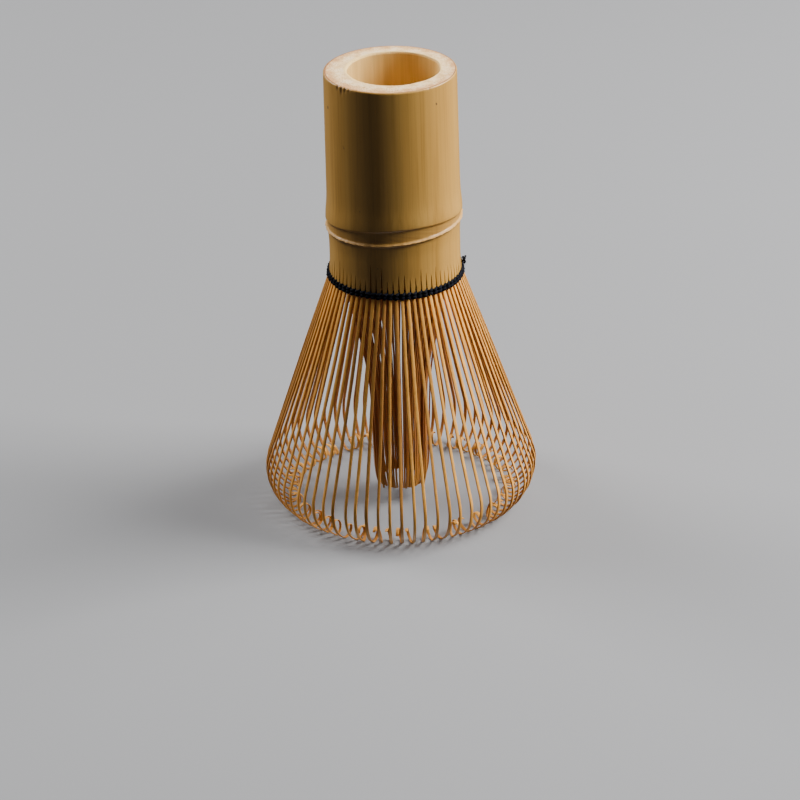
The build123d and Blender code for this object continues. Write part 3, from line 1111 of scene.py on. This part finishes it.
def build_floor():
    ticks = [(i / FLOOR_STEPS - 0.5) * FLOOR_SIZE for i in range(FLOOR_STEPS + 1)]
    points = [(x, y, 0) for y in ticks for x in ticks]
    faces = []
    for j in range(FLOOR_STEPS):
        for i in range(FLOOR_STEPS):
            a = j * (FLOOR_STEPS + 1) + i
            b = a + FLOOR_STEPS + 1
            faces.append((a, a + 1, b + 1, b))
    put_on_stage(new_piece("studio_floor", points, faces, studio_floor()))


def build_backdrop():
    """A round sweep from just above the floor up to a wall, far outside the lights."""
    rings = [(radius, BACKDROP_FOOT) for radius in np.linspace(0.3, SWEEP_R, 8)]
    for angle in np.linspace(0.2, 1.57, 8):
        rise = SWEEP_BEND * (1 - math.cos(angle))
        rings.append((SWEEP_R + SWEEP_BEND * math.sin(angle), BACKDROP_FOOT + rise))
    rings.append((SWEEP_R + SWEEP_BEND, WALL_TOP))
    turns = [k / BACKDROP_AROUND * TAU for k in range(BACKDROP_AROUND)]
    points = [(r * math.cos(turn), r * math.sin(turn), z) for r, z in rings for turn in turns]
    faces = rows_to_faces(len(rings), BACKDROP_AROUND, lambda row, column: True)
    put_on_stage(new_piece("studio_backdrop", points, faces, studio_backdrop()))


def soft_light(name, place, target, size, power, spread=180):
    """A rectangular lamp at a place, in metres and watts, that faces its target."""
    data = bpy.data.lights.new(name, "AREA")
    data.shape = "RECTANGLE"
    data.size, data.size_y = size
    data.energy = power
    data.spread = math.radians(spread)
    light = bpy.data.objects.new(name, data)
    light.location = place
    aim = Vector(target) - Vector(place)
    light.rotation_euler = aim.to_track_quat("-Z", "Y").to_euler()
    bpy.context.scene.collection.objects.link(light)


def build_lights():
    soft_light("key_right", (0.67, 0.06, 0.56), STUDIO_MIDDLE, (0.58, 0.36), 19.5)
    soft_light("edge_right", (0.53, 0.37, 0.51), STUDIO_MIDDLE, (0.25, 0.30), 1.6)
    soft_light("fill_left", (-0.56, 0.36, 0.52), STUDIO_MIDDLE, (0.42, 0.36), 7.2)
    soft_light("top", (0.0, 0.08, 0.95), (0, 0, 0.09), (0.36, 0.36), 0.12, spread=70)
    soft_light("under", (0.0, -0.04, -0.25), (0, 0, 0), (0.16, 0.16), 0.16)
    world = bpy.data.worlds.new("studio")
    bpy.context.scene.world = world
    world.use_nodes = True
    background = world.node_tree.nodes["Background"]
    background.inputs["Color"].default_value = (0.74, 0.80, 1.0, 1)
    background.inputs["Strength"].default_value = 0.08


def build_camera():
    """The view from 25.6 degrees above, with the whisk leaning a little to the left."""
    distance = 0.932
    elevation = math.radians(25.57)
    roll = math.radians(-1.6)
    focal_pixels = 4149
    look = Vector((0.175, 0, 22.98)) * MM
    forward = Vector((0, math.cos(elevation), -math.sin(elevation)))
    right = Vector((1, 0, 0))
    up = right.cross(forward)
    rolled_right = right * math.cos(roll) + up * math.sin(roll)
    rolled_up = up * math.cos(roll) - right * math.sin(roll)
    turn = Matrix((rolled_right, rolled_up, -forward)).transposed()
    data = bpy.data.cameras.new("camera")
    data.sensor_width = 36
    data.lens = data.sensor_width * focal_pixels / IMAGE_SIZE
    data.clip_start = 0.01
    data.clip_end = 20
    camera = bpy.data.objects.new("camera", data)
    camera.matrix_world = Matrix.Translation(look - forward * distance) @ turn.to_4x4()
    bpy.context.scene.collection.objects.link(camera)
    bpy.context.scene.camera = camera


build_floor()
build_backdrop()
build_lights()
build_camera()
